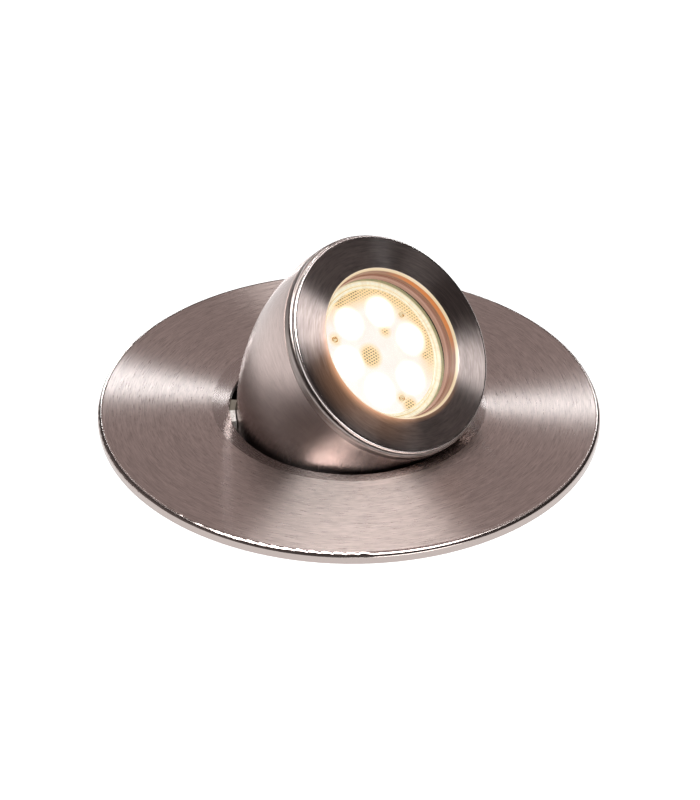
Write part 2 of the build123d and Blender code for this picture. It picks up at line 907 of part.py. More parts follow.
def leds():
    base = block(
        (-led_size / 2, led_size / 2),
        (-led_size / 2, led_size / 2),
        (board_top, board_top + led_base),
    )
    dome = Pos(0, 0, board_top + led_base - led_dome_sink) * Sphere(led_dome_radius)
    dome &= ring(led_size, 0, board_top + led_base - led_dome_sink, board_top + led_size)
    return [place_head(place * (base + dome)) for place in lens_cells()]


def thermal_pad():
    body = ring(module_bore - board_play, 0, bay_floor, board_bottom)
    for place in screw_places():
        body -= place * ring(screw_hole_radius(), 0, bay_floor - run_on, board_bottom + run_on)
    return place_head(body)


def driver_board():
    """Supply board in the rear bay, on the bay's step, with a can, a coil and a chip."""
    low = module_bottom + driver_lift
    top = low + driver_height
    reach = driver_bay_radius - driver_step
    tall = driver_component_height
    body = ring(driver_bay_radius - driver_play, 0, low, top)
    body += Pos(-0.35 * reach, 0.3 * reach, 0) * ring(0.22 * reach, 0, top, top + tall)
    body += block((0.1 * reach, 0.7 * reach), (-0.5 * reach, 0.1 * reach), (top, top + 0.75 * tall))
    body += block((-0.6 * reach, -0.2 * reach), (-0.5 * reach, -0.2 * reach), (top, top + 0.4 * tall))
    return place_head(body)


def module_back():
    inner = gland_thread_radius * module_gland_ratio + thread_play
    body = ring(back_edge, inner, module_bottom - back_height, module_bottom)
    for place in back_screw_places():
        body -= place * ring(back_screw_hole, 0, module_bottom - back_height - run_on, module_bottom + run_on)
    return place_head(body)


def back_screws():
    low = module_bottom - back_height
    screw = ring(back_screw_radius, 0, low, module_bottom + back_screw_length)
    screw += ring(back_screw_head_radius, 0, low - back_screw_head_height, low)
    socket_low = low - back_screw_head_height - run_on
    screw -= ring(back_socket_radius, 0, socket_low, socket_low + run_on + back_socket_depth)
    return [place_head(place * screw) for place in back_screw_places()]


def gland_body(ratio):
    """Threaded neck and hexagon flange of a cable gland, hanging down from Z = 0."""
    neck = gland_thread_radius * ratio
    tail = (sleeve_floor + locknut_height) * ratio + gland_tail
    thread_low = -(gland_flange_height + gland_thread_length) * ratio
    body = ring(neck, 0, thread_low, tail)
    body += hexagon(gland_across_flats * ratio, -gland_flange_height * ratio, 0)
    return body - ring((gland_bore + gland_seal_wall) * ratio, 0, thread_low - run_on, tail + run_on)


def gland_cap(ratio):
    """Domed cap nut that presses the seal round the cable."""
    top = -gland_flange_height * ratio - gland_cap_gap
    low = top - gland_cap_height * ratio
    radius = gland_cap_radius * ratio
    thread = gland_thread_radius * ratio + thread_play
    mouth = gland_bore * ratio + gland_mouth_play
    section = [
        (mouth, low),
        (radius - gland_cap_taper * ratio, low),
        (radius, low + gland_cap_taper_height * ratio),
        (radius, top),
        (thread, top),
        (thread, low + gland_cap_floor * ratio),
        (mouth, low + gland_cap_lip * ratio),
    ]
    body = turned(section)
    flute = ring(gland_flute_radius * ratio, 0, low + gland_flute_lift * ratio, top + run_on)
    for turn in around(gland_flute_count):
        body -= turn * Pos(radius + gland_flute_offset * ratio, 0, 0) * flute
    return body


def gland_seal(ratio):
    top = -gland_flange_height * ratio
    low = top - gland_cap_gap - (gland_cap_height - gland_cap_floor - gland_seal_lift) * ratio
    outer = (gland_bore + gland_seal_wall) * ratio - thread_play
    return ring(outer, gland_bore * ratio, low, top)


def sleeve_gland_parts():
    place = Pos(0, 0, -sleeve_floor_depth - sleeve_floor)
    nut = hexagon(locknut_across_flats, sleeve_floor, sleeve_floor + locknut_height)
    nut -= ring(gland_thread_radius + thread_play, 0, 0, sleeve_floor + locknut_height + run_on)
    return {
        "sleeve_gland_body": [place * gland_body(1.0)],
        "sleeve_gland_cap": [place * gland_cap(1.0)],
        "sleeve_gland_seal": [place * gland_seal(1.0)],
        "sleeve_gland_locknut": [place * nut],
    }


def module_gland_parts():
    """The same gland at a smaller ratio on the back of the light module."""
    ratio = module_gland_ratio
    place = Pos(0, 0, module_bottom - back_height)
    neck_end = module_bottom + driver_lift - module_gland_gap
    body = place * gland_body(ratio)
    body &= ring(module_radius, 0, neck_end - sleeve_length, neck_end)
    return {
        "module_gland_body": [place_head(body)],
        "module_gland_cap": [place_head(place * gland_cap(ratio))],
        "module_gland_seal": [place_head(place * gland_seal(ratio))],
    }


def head_base():
    """Lower closure of the head, with the hinge knuckle in front and the stop behind."""
    body = ring(tube_radius, 0, -base_height, 0)
    spigot = ring(tube_inner - spigot_play, tube_inner - spigot_wall, -bite, spigot_height)
    front = block((-tube_radius, tube_radius), (-tube_radius, -spigot_front), (0, spigot_height + run_on))
    body += spigot - front
    half = knuckle_length / 2
    body += block((-half, half), (-bend_radius, -tube_radius + knuckle_root), (-base_height, 0))
    knuckle = Pos(0, -bend_radius, 0) * Rot(0, 90, 0) * Cylinder(knuckle_radius, knuckle_length)
    body += knuckle
    body -= Pos(0, -bend_radius, 0) * Rot(0, 90, 0) * Cylinder(pin_radius + pin_play, knuckle_length + run_on)
    body += stop_post()
    body -= ring(grommet_radius - grommet_lip, 0, -base_height - run_on, run_on)
    for angle in side_screw_angles:
        body -= side_screw_bar(angle, side_screw_diameter / 2)
    return place_base(body)


def stop_post():
    """Curved post behind the shell whose end meets the plate at full tilt."""
    inner = tube_radius + stop_play
    outer = inner + stop_thickness
    rise = degrees(atan2(hinge_depth + hole_bottom, hinge_offset + hole_radius))
    rise -= degrees(stop_gap / (hinge_offset + hole_radius))
    section = Pos(0, (inner + outer) / 2, 0) * Rectangle(stop_width, outer - inner)
    post = revolve(section, Axis((0, -bend_radius, 0), (1, 0, 0)), revolution_arc=skirt_angle + rise)
    foot = block((-stop_width / 2, stop_width / 2), (tube_radius - stop_root, outer), (-base_height, 0))
    return post + foot


def cable_grommet():
    lip = ring(grommet_radius, 0, -base_height - grommet_lip, -base_height)
    lip += ring(grommet_radius, 0, 0, grommet_lip)
    body = lip + ring(grommet_radius - grommet_lip - thread_play, 0, -base_height, 0)
    bore = ring(grommet_bore, 0, -base_height - grommet_lip - run_on, grommet_lip + run_on)
    return place_base(body - bore)


def ground_sleeve():
    """Open tube with the clips' groove, a ledge for the floor, ribs and the stop lug."""
    ledge_top = -sleeve_floor_depth - sleeve_floor
    section = [
        (sleeve_bore, ledge_top),
        (sleeve_bore - ledge_reach, ledge_top),
        (sleeve_bore - ledge_reach, ledge_top - sleeve_floor),
        (sleeve_bore, ledge_top - sleeve_floor - ledge_reach),
        (sleeve_bore, -sleeve_length),
        (sleeve_radius, -sleeve_length),
        (sleeve_radius, 0),
        (sleeve_bore, 0),
        (sleeve_bore, -groove_top),
        (sleeve_bore + groove_depth, -groove_top - groove_slope),
        (sleeve_bore + groove_depth, -groove_top - groove_height + groove_slope),
        (sleeve_bore, -groove_top - groove_height),
    ]
    body = turned(section)
    for turn in around(sleeve_rib_count, sleeve_rib_phase):
        body += turn * block(
            (sleeve_bore - sleeve_rib_height, sleeve_bore + run_on),
            (-sleeve_rib_thickness / 2, sleeve_rib_thickness / 2),
            (-sleeve_floor_depth, -nub_top - stop_nub_height - sleeve_rib_gap),
        )
    nub = block(
        (-stop_nub_width / 2, stop_nub_width / 2),
        (sleeve_bore - stop_nub_reach, sleeve_bore + run_on),
        (-nub_top - stop_nub_height, -nub_top),
    )
    return body + nub


def sleeve_base():
    """Floor disc on the sleeve's ledge, with drains round the cable gland."""
    low = -sleeve_floor_depth - sleeve_floor
    body = ring(sleeve_bore - floor_play, gland_thread_radius + floor_play, low, -sleeve_floor_depth)
    for turn in around(drain_count):
        body -= turn * Pos(drain_circle_radius, 0, 0) * ring(drain_radius, 0, low - run_on, 0)
    return body


def build_nodes():
    nodes = {
        "ground_sleeve": [ground_sleeve()],
        "sleeve_base": [sleeve_base()],
        "cover_plate": [cover_plate()],
        "plate_studs": studs(),
        "stud_washers": stud_washers(),
        "stud_nuts": stud_nuts(),
        "carrier_ring": [carrier_ring()],
        "carrier_seal": [carrier_seal()],
        "cover_gasket": [cover_gasket()],
        "retaining_clips": retaining_clips(),
        "hinge_bracket": [hinge_bracket()],
        "bracket_screws": bracket_screws(),
        "hinge_pin": [hinge_pin()],
        "pin_clip": [pin_clip()],
        "hinge_washers": hinge_washers(),
        "spring_block_left": [spring_block(1)],
        "spring_block_right": [spring_block(-1)],
        "block_rivets": [block_rivet(1), block_rivet(-1)],
        "friction_spring_left": [friction_spring(1)],
        "friction_spring_right": [friction_spring(-1)],
        "head_shell": [head_shell()],
        "shell_collar": [shell_collar()],
        "bezel_gasket": [bezel_gasket()],
        "bezel": [bezel()],
        "glass": [glass()],
        "glass_gasket": [glass_gasket()],
        "glass_seat": [glass_seat()],
        "module_housing": [module_housing()],
        "lens_holder": [lens_holder()],
        "lens_array": [lens_array()],
        "lens_screws": lens_screws(),
        "led_board": [led_board()],
        "leds": leds(),
        "thermal_pad": [thermal_pad()],
        "driver_board": [driver_board()],
        "module_back": [module_back()],
        "back_screws": back_screws(),
        "head_base": [head_base()],
        "side_screws": side_screws(),
        "cable_grommet": [cable_grommet()],
    }
    nodes.update(module_gland_parts())
    nodes.update(sleeve_gland_parts())
    return nodes


def solids_of(shapes):
    return [solid for shape in shapes for solid in shape.solids()]


os.makedirs("parts", exist_ok=True)
for name, shapes in build_nodes().items():
    solids = solids_of(shapes)
    part = solids[0] if len(solids) == 1 else Compound(children=solids)
    export_step(part, "parts/" + name + ".step")
    print(name, len(solids), round(sum(s.volume for s in solids), 1))
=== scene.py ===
import math

import bpy
from mathutils import Matrix, Vector

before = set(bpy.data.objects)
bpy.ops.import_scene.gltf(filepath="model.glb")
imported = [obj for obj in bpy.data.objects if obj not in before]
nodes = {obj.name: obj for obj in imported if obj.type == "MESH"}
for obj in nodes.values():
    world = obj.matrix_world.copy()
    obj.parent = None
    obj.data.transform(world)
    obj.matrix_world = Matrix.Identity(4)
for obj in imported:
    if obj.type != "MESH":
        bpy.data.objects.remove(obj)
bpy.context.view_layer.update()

# Places and sizes shared with the CAD model, in metres
HINGE = Vector((0, -0.0397, -0.0019))
TILT = math.radians(45.8)
BEND = 0.0394
PLATE_TOP = 0.003
PLATE_RADIUS = 0.075
RIM_RADIUS = 0.0732
DISH_RADIUS = 0.041
SLEEVE_RADIUS = 0.055
FACE = 0.0066
BEZEL_EDGE = 0.0324
RECESS_EDGE = 0.02304
RECESS_DEPTH = 0.0046
LENS_CIRCLE = 0.0123
LENS_PHASE = math.radians(-7.0)
SCREW_CIRCLE = 0.0153
SCREW_PHASE = math.radians(23.0)
HOLDER_INNER = 0.0191
HOLDER_OUTER = 0.0216

# The head at rest: its axis, the direction across it, and its centre in the plane of the hinge
HEAD_AXIS = Vector((0, -math.sin(TILT), math.cos(TILT)))
HEAD_SIDE = Vector((0, math.cos(TILT), math.sin(TILT)))
HEAD_CENTRE = HINGE + HEAD_SIDE * BEND

# The camera, fitted to the photograph
CAMERA_DISTANCE = 0.650
CAMERA_ELEVATION = math.radians(33.936)
CAMERA_TURN = math.radians(-47.7)
CAMERA_ROLL = -0.01074
SENSOR_WIDTH = 36.0
FOCAL_PIXELS = 2171.8
PICTURE = (700, 800)
AIM_PIXEL = (349.22, 400.57)

# Right, away and up of the photograph as directions of the frame
PHOTO_TURN = Matrix.Rotation(CAMERA_TURN, 3, "Z")
PHOTO_RIGHT = PHOTO_TURN @ Vector((1, 0, 0))
PHOTO_AWAY = PHOTO_TURN @ Vector((0, 1, 0))
UP = Vector((0, 0, 1))

# Wide light of the room, and the place of its pale back in degrees
FRONT_LIGHT = 0.075
CEILING_LIGHT = 0.1
LEFT_LIGHT = 0.15
ROOM_LIGHT = 0.06
BACK_LIGHT = 0.56
BACK_PLACE = (88, 46)

# Softboxes: degrees left of the photograph's right and above the ground, degrees wide and high,
# radiance and colour
LIGHT_DISTANCE = 1.2
STEEP = 70
WHITE = (1.0, 1.0, 1.0)
COOL = (0.88, 0.96, 1.0)
SOFTBOXES = (
    ("back_left", 117, 17.5, 8, 7, 40.0, COOL),
    ("back_right", 63, 26, 9, 6, 17.0, COOL),
    ("overhead", -76, 78.4, 50, 27, 14.0, WHITE),
    ("front_low", -64, 7, 36, 12, 5.0, WHITE),
)

# Layers of brushing marks: density across them, stretch along them, and weight
MARK_LAYERS = ((1.0, 1.0, 0.4), (0.55, 1.3, 0.4), (0.16, 0.4, 0.2))
MARK_SPREAD = (0.38, 0.62)
NOISE_SPREAD = (0.3, 0.7)

# Metal of the cover plate
PLATE_COLOUR = (0.56, 0.482, 0.452)
PLATE_ROUGH = 0.285
PLATE_WAVER = 0.015
DISH_COLOUR = (0.40, 0.345, 0.325)
DISH_ROUGH = 0.27
DISH_BLEND = 0.0001
RIM_ROUGH = 0.14
RIM_BLEND = 0.0006

# Metal of the face ring, its polished edge, and the start of the lamp's glow on it
BEZEL_COLOUR = (0.46, 0.390, 0.372)
BEZEL_ROUGH = 0.278
EDGE_COLOUR = (0.66, 0.60, 0.58)
EDGE_ROUGH = 0.25
GLOW_START = 0.0230
GLOW_COLOUR = (1.0, 0.50, 0.27)

# Painted lamp light on the recess wall, as emitted colours from the glass up to the chamfer; the
# pale last bands are a painted highlight on the chamfer
RECESS_LIGHT_TONES = (
    (0.0, (0.40, 0.21, 0.15)), (0.14, (0.50, 0.28, 0.21)), (0.22, (0.28, 0.12, 0.08)),
    (0.42, (0.28, 0.13, 0.08)), (0.46, (0.20, 0.09, 0.03)), (0.52, (0.34, 0.17, 0.11)),
    (0.82, (0.26, 0.12, 0.08)), (0.87, (0.80, 0.62, 0.38)), (1.0, (0.90, 0.74, 0.50)),
)
# Painted reflection of the lit lens on the recess wall
ORANGE_REFLECTION = (0.62, 0.18, 0.03)
RECESS_GRAIN = 9000.0

# Painted lamp light on the lens's trim ring, as emitted colours from its inner edge outwards; the
# darker gold band is painted shade in a groove
HOLDER_LIGHT_TONES = (
    (0.0, (0.80, 0.62, 0.34)), (0.10, (1.0, 0.93, 0.76)), (0.30, (1.0, 0.92, 0.72)),
    (0.38, (0.66, 0.46, 0.20)), (0.50, (0.98, 0.90, 0.68)), (0.70, (1.0, 0.94, 0.78)),
    (0.92, (0.92, 0.78, 0.52)), (1.0, (0.30, 0.28, 0.16)),
)

# Places on the lens that aren't blown out: right, up, inner and outer radius
GOLDEN_PLACES = (
    (-0.0041, 0.0000, 0.0022, 0.0044), (0.0053, 0.0042, 0.0003, 0.0026),
    (0.0018, 0.0184, 0.0016, 0.0040), (-0.0040, 0.0182, 0.0014, 0.0036),
    (-0.0006, -0.0180, 0.0010, 0.0034), (0.0141, -0.0080, 0.0004, 0.0030),
)
GOLDEN = (1.0, 0.67, 0.25)
UPPER_RIGHT = Vector((0.82, 0.57, 0.0))
# Inner and outer radius of a cell's bright disc, and of the golden spot round a screw
CELL_DISC = (0.0030, 0.0060)
SCREW_DISC = (0.0010, 0.0026)
# The lens's fine dots: rows per metre, and the slant and stretch of a triangular grid
DOT_SCALE = 1080.0
DOT_SLANT = 0.577
DOT_STRETCH = 1.155

# The floor's rings of points, from the sleeve's cut-out to far away
FLOOR_RINGS = (SLEEVE_RADIUS + 0.003, PLATE_RADIUS * 1.2, 0.6, 4.0)
FLOOR_SIDES = 96


def add_object(name, data):
    obj = bpy.data.objects.new(name, data)
    bpy.context.scene.collection.objects.link(obj)
    return obj


def set_place(obj, right, up, back, place):
    """Put a camera or light at a place, with its own three axes as given."""
    axes = Matrix((right, up, back)).transposed()
    obj.matrix_world = Matrix.Translation(place) @ axes.to_4x4()


def add_camera():
    cam = bpy.data.cameras.new("camera")
    cam.sensor_fit = "AUTO"
    cam.sensor_width = SENSOR_WIDTH
    cam.lens = FOCAL_PIXELS * SENSOR_WIDTH / PICTURE[1]
    cam.clip_start = 0.01
    cam.clip_end = 50.0
    ce, se = math.cos(CAMERA_ELEVATION), math.sin(CAMERA_ELEVATION)
    cr, sr = math.cos(CAMERA_ROLL), math.sin(CAMERA_ROLL)
    right, up, back = Vector((1, 0, 0)), Vector((0, se, ce)), Vector((0, -ce, se))
    cam_right = right * cr - up * sr
    cam_up = right * sr + up * cr
    off_x = (AIM_PIXEL[0] - PICTURE[0] / 2) * CAMERA_DISTANCE / FOCAL_PIXELS
    off_y = -(AIM_PIXEL[1] - PICTURE[1] / 2) * CAMERA_DISTANCE / FOCAL_PIXELS
    place = PHOTO_TURN @ (back * CAMERA_DISTANCE - cam_right * off_x - cam_up * off_y)
    obj = add_object("camera", cam)
    set_place(obj, PHOTO_TURN @ cam_right, PHOTO_TURN @ cam_up, PHOTO_TURN @ back,
              place + UP * PLATE_TOP)
    bpy.context.scene.camera = obj


class Nodes:
    """Short calls for the node tree of a material, or of the world."""

    def __init__(self, name="", tree=None):
        self.tree = tree
        if tree is None:
            self.material = bpy.data.materials.new(name)
            self.material.use_nodes = True
            self.tree = self.material.node_tree
            self.shader = self.tree.nodes["Principled BSDF"]

    def add(self, kind, **settings):
        node = self.tree.nodes.new(kind)
        for key, value in settings.items():
            setattr(node, key, value)
        return node

    def link(self, source, target):
        self.tree.links.new(source, target)

    def feed(self, socket, value):
        """Link a socket to another one's output, or set it to a plain value."""
        if hasattr(value, "is_output"):
            self.link(value, socket)
        else:
            socket.default_value = value

    def set(self, **values):
        """Feed the shader's sockets, named with an underscore for each space."""
        for key, value in values.items():
            self.feed(self.shader.inputs[key.replace("_", " ")], value)

    def math(self, operation, a, b=0.0):
        node = self.add("ShaderNodeMath", operation=operation)
        for socket, value in zip(node.inputs, (a, b)):
            self.feed(socket, value)
        return node.outputs[0]

    def fold(self, operation, values):
        """Many values made one, by sums or maxima."""
        result = values[0]
        for value in values[1:]:
            result = self.math(operation, result, value)
        return result

    def vector(self, operation, a, b=(0, 0, 0), scale=None):
        node = self.add("ShaderNodeVectorMath", operation=operation)
        self.feed(node.inputs[0], a)
        self.feed(node.inputs[1], b)
        if scale is not None:
            self.feed(node.inputs["Scale"], scale)
        scalar = operation in ("DOT_PRODUCT", "LENGTH", "DISTANCE")
        return node.outputs["Value"] if scalar else node.outputs["Vector"]

    def split(self, value):
        node = self.add("ShaderNodeSeparateXYZ")
        self.link(value, node.inputs[0])
        return node.outputs

    def join(self, x, y, z):
        node = self.add("ShaderNodeCombineXYZ")
        for socket, value in zip(node.inputs, (x, y, z)):
            self.feed(socket, value)
        return node.outputs[0]

    def place(self):
        return self.add("ShaderNodeTexCoord").outputs["Object"]

    def noise(self, vector, scale, detail=2.0, rough=0.5):
        node = self.add("ShaderNodeTexNoise")
        self.feed(node.inputs["Vector"], vector)
        node.inputs["Scale"].default_value = scale
        node.inputs["Detail"].default_value = detail
        node.inputs["Roughness"].default_value = rough
        return node.outputs["Fac"]

    def spread(self, value, low, high, start=0.0, end=1.0):
        """Low to high, while the value goes from start to end."""
        node = self.add("ShaderNodeMapRange")
        for socket, given in zip(node.inputs, (value, start, end, low, high)):
            self.feed(socket, given)
        return node.outputs["Result"]

    def mix(self, factor, a, b):
        node = self.add("ShaderNodeMix", data_type="RGBA")
        self.feed(node.inputs[0], factor)
        for socket, value in ((node.inputs[6], a), (node.inputs[7], b)):
            plain = isinstance(value, tuple) and len(value) == 3
            self.feed(socket, (*value, 1.0) if plain else value)
        return node.outputs[2]

    def ramp(self, value, stops):
        """Colours at positions of a value between nought and one."""
        node = self.add("ShaderNodeValToRGB")
        self.link(value, node.inputs[0])
        elements = node.color_ramp.elements
        while len(elements) < len(stops):
            elements.new(0.5)
        for element, (position, colour) in zip(elements, stops):
            element.position = position
            element.color = (*colour, 1.0)
        return node.outputs["Color"]

    def facing(self, around, degrees, start, end):
        """One towards an angle about the head's axis, and nought away from it."""
        a = math.radians(degrees)
        ray = Vector((1, 0, 0)) * math.cos(a) + HEAD_SIDE * math.sin(a)
        return self.spread(self.vector("DOT_PRODUCT", around, tuple(ray)), 0.0, 1.0, start, end)

    def bump(self, height, strength, distance):
        node = self.add("ShaderNodeBump")
        self.link(height, node.inputs["Height"])
        node.inputs["Strength"].default_value = strength
        node.inputs["Distance"].default_value = distance
        self.set(Normal=node.outputs[0])


def darker(colour, share):
    return tuple(c * share for c in colour)


def turned_coordinates(n, centre, axis):
    """Radius, height, outward direction and direction of the marks, about a straight axis."""
    away = n.vector("SUBTRACT", n.place(), tuple(centre))
    along = n.vector("DOT_PRODUCT", away, tuple(axis))
    axial = n.vector("SCALE", tuple(axis), scale=along)
    radial = n.vector("SUBTRACT", away, axial)
    around = n.vector("NORMALIZE", radial)
    marks = n.vector("CROSS_PRODUCT", tuple(axis), radial)
    return n.vector("LENGTH", radial), along, around, marks


def bent_coordinates(n):
    """Length, outward direction and direction of the marks of the tube bent about the hinge."""
    away = n.vector("SUBTRACT", n.place(), tuple(HINGE))
    _, y, z = n.split(away)
    flat = n.vector("NORMALIZE", n.join(0.0, y, z))
    angle = n.math("ARCTAN2", z, y)
    radial = n.vector("SUBTRACT", away, n.vector("SCALE", flat, scale=BEND))
    section = n.vector("CROSS_PRODUCT", (1.0, 0.0, 0.0), flat)
    marks = n.vector("CROSS_PRODUCT", section, radial)
    return n.math("MULTIPLY", angle, BEND), n.vector("NORMALIZE", radial), marks


def streak_across(n, marks, waver):
    """Highlights stretch square to the marks, and waver a little from line to line."""
    normal = n.add("ShaderNodeTexCoord").outputs["Normal"]
    along = n.vector("NORMALIZE", marks)
    across = n.vector("CROSS_PRODUCT", normal, along)
    bent = n.vector("ADD", across, n.vector("SCALE", along, scale=waver))
    node = n.add("ShaderNodeVectorTransform", vector_type="VECTOR",
                 convert_from="OBJECT", convert_to="WORLD")
    n.link(bent, node.inputs[0])
    n.set(Tangent=n.vector("NORMALIZE", node.outputs[0]))


def brush(n, across, around, marks, colour, rough, grain, length, waver, contrast=0.62):
    """Fine marks: quick change across the lines, slow change along them."""
    layers = []
    for density, stretch, _ in MARK_LAYERS:
        along = n.vector("SCALE", around, scale=length * stretch)
        step = n.join(0.0, 0.0, n.math("MULTIPLY", across, grain * density))
        layers.append(n.noise(n.vector("ADD", along, step), 1.0, 2.0, 0.6))
    fine, other, _ = layers
    weighed = [n.math("MULTIPLY", layer, weight)
               for layer, (_, _, weight) in zip(layers, MARK_LAYERS)]
    shade = n.spread(n.fold("ADD", weighed), 0.0, 1.0, *MARK_SPREAD)
    base = n.mix(shade, darker(colour, contrast), colour)
    gloss = n.math("MULTIPLY", n.spread(fine, 0.95, 1.05, *NOISE_SPREAD), rough)
    n.set(Base_Color=base, Metallic=1.0, Roughness=gloss, Anisotropic=1.0)
    streak_across(n, marks, n.math("MULTIPLY", n.spread(other, -1.0, 1.0, *NOISE_SPREAD), waver))
    return base


def brushed_plate():
    """Brushed flat, a plain softly shining dish, and a rim whose gloss runs along its edge."""
    n = Nodes("plate_brushed")
    radius, _, around, marks = turned_coordinates(n, (0, 0, 0), (0, 0, 1))
    past_dish = n.spread(radius, 0.0, 1.0, DISH_RADIUS - DISH_BLEND, DISH_RADIUS + DISH_BLEND)
    before_rim = n.spread(radius, 1.0, 0.0, RIM_RADIUS, RIM_RADIUS + RIM_BLEND)
    flat = n.math("MULTIPLY", past_dish, before_rim)
    rest_rough = n.spread(radius, DISH_ROUGH, RIM_ROUGH, RIM_RADIUS, RIM_RADIUS + RIM_BLEND)
    on_rim = n.spread(radius, 0.0, 1.0, RIM_RADIUS + 0.0002, RIM_RADIUS + 0.0003)
    marks = n.mix(on_rim, marks, (0.0, 0.0, 1.0))
    base = brush(n, radius, around, marks, PLATE_COLOUR, n.spread(flat, rest_rough, PLATE_ROUGH),
                 grain=4300.0, length=13.0, waver=n.spread(flat, 0.0, PLATE_WAVER), contrast=0.64)
    n.set(Base_Color=n.mix(flat, DISH_COLOUR, base))
    return n.material


def brushed_ring(name, colour, rough, edge):
    """Turned ring of the head. Beyond the radius called edge, its gloss runs along the ring."""
    n = Nodes(name)
    radius, along, around, marks = turned_coordinates(n, HEAD_CENTRE, HEAD_AXIS)
    on_edge = n.spread(radius, 0.0, 1.0, edge, edge + 0.0001)
    marks = n.mix(on_edge, marks, tuple(HEAD_AXIS))
    base = brush(n, n.math("ADD", radius, along), around, marks, colour, rough,
                 grain=2600.0, length=6.0, waver=0.04)
    return n, radius, along, around, base


def lamp_glow(n, radius, around):
    """The lamp's light on the face ring: wide at the lower left, narrow all along below."""
    def fading(strength, reach):
        return n.spread(radius, strength, 0.0, GLOW_START, reach)
    low_left = n.facing(around, 192.0, 0.45, 0.98)
    wide = n.math("MULTIPLY", low_left, n.math("ADD", fading(0.40, 0.0256), fading(0.20, 0.0320)))
    below = n.facing(around, 225.0, -0.1, 0.5)
    narrow = n.math("MULTIPLY", below, fading(0.22, 0.0243))
    return n.vector("SCALE", GLOW_COLOUR, scale=n.math("ADD", wide, narrow))


def recess_wall(n, along, around):
    """Turned wall of the recess with the lamp's light painted on as emitted colour, and a painted
    orange reflection of the lit lens at the right.
    """
    depth = n.spread(along, 0.0, 1.0, FACE - RECESS_DEPTH, FACE)
    wall = n.ramp(depth, RECESS_LIGHT_TONES)
    lower = n.spread(depth, 0.0, 1.0, 0.52, 0.56)
    upper = n.spread(depth, 1.0, 0.0, 0.84, 0.86)
    # Painted reflection: orange at the right, between the lower bands and the chamfer
    orange = n.math("MULTIPLY", n.facing(around, 12.0, 0.70, 0.92), lower)
    wall = n.mix(n.math("MULTIPLY", orange, upper), wall, ORANGE_REFLECTION)
    grain = n.noise(n.join(0.0, 0.0, n.math("MULTIPLY", along, RECESS_GRAIN)), 1.0)
    dull = n.vector("SCALE", wall, scale=0.86)
    return n.mix(n.spread(grain, 0.0, 1.0, *NOISE_SPREAD), dull, wall)


def bezel_metal():
    """Brushed face with the lamp's glow by the hole, and a recess that the lamp lights up."""
    n, radius, along, around, base = brushed_ring("bezel_turned", BEZEL_COLOUR, BEZEL_ROUGH,
                                                  BEZEL_EDGE)
    on_edge = n.spread(radius, 0.0, 1.0, BEZEL_EDGE + 0.0002, BEZEL_EDGE + 0.0005)
    base = n.mix(on_edge, base, EDGE_COLOUR)
    over_face = n.math("MAXIMUM", n.math("SUBTRACT", along, FACE - 0.0001), 0.0)
    inside = n.math("LESS_THAN", n.math("ADD", radius, over_face), RECESS_EDGE)
    inside = n.math("MULTIPLY", inside, n.math("LESS_THAN", along, FACE - 0.00003))
    # Painted lamp light, emitted: the glow on the face ring and the colours of the recess wall
    light = n.mix(inside, lamp_glow(n, radius, around), recess_wall(n, along, around))
    n.set(Base_Color=n.mix(inside, base, (0.03, 0.02, 0.015)),
          Metallic=n.math("SUBTRACT", 1.0, inside),
          Roughness=n.spread(radius, BEZEL_ROUGH, EDGE_ROUGH, BEZEL_EDGE, BEZEL_EDGE + 0.0003),
          Emission_Color=light, Emission_Strength=1.0)
    return n.material


def collar_metal():
    n = brushed_ring("collar_turned", (0.34, 0.290, 0.272), 0.36, 0.0)[0]
    return n.material


def brushed_shell():
    n = Nodes("shell_turned")
    along, around, marks = bent_coordinates(n)
    brush(n, along, around, marks, (0.54, 0.440, 0.412), 0.21,
          grain=3400.0, length=9.0, waver=0.03, contrast=0.82)
    return n.material


def plain_steel(name, colour, rough):
    n = Nodes(name)
    grain = n.noise(n.place(), 900.0, 3.0)
    n.set(Base_Color=n.mix(grain, darker(colour, 0.8), colour), Metallic=1.0,
          Roughness=n.spread(grain, rough * 0.7, rough * 1.3))
    n.bump(grain, 0.15, 0.00003)
    return n.material


def moulded(name, colour, rough, grain=1500.0):
    n = Nodes(name)
    fine = n.noise(n.place(), grain, 3.0)
    wide = n.noise(n.place(), 60.0, 2.0)
    n.set(Base_Color=n.mix(wide, darker(colour, 0.78), colour),
          Roughness=n.spread(fine, rough * 0.85, min(1.0, rough * 1.15)))
    n.bump(fine, 0.2, 0.00005)
    return n.material


def guide_block():
    """Mottled pale nylon, with a duller worn patch on the half away from the hinge."""
    n = Nodes("guide_nylon")
    place = n.place()
    fine = n.noise(place, 1600.0, 3.0)
    x, y, _ = n.split(place)
    behind = n.math("SUBTRACT", y, n.math("ABSOLUTE", x))
    worn = n.spread(behind, 0.0, 1.0, -0.0002, 0.0004)
    pale = n.mix(n.spread(fine, 0.0, 1.0, 0.4, 0.6), (0.38, 0.35, 0.32), (0.66, 0.63, 0.60))
    n.set(Base_Color=n.mix(worn, pale, (0.13, 0.115, 0.09)), Roughness=n.spread(worn, 0.5, 0.25))
    n.bump(fine, 0.2, 0.00005)
    return n.material


def clear_glass():
    n = Nodes("window_glass")
    smear = n.noise(n.place(), 120.0, 2.0)
    n.set(Base_Color=n.mix(smear, (0.97, 0.985, 0.97), WHITE), Roughness=n.spread(smear, 0.0, 0.01),
          Transmission_Weight=1.0, IOR=1.5)
    return n.material


def ring_places(circle, phase, count):
    """Points spread evenly over a circle, as right and up of its centre."""
    angles = [phase + i * 2 * math.pi / count for i in range(count)]
    return [(circle * math.cos(a), circle * math.sin(a)) for a in angles]


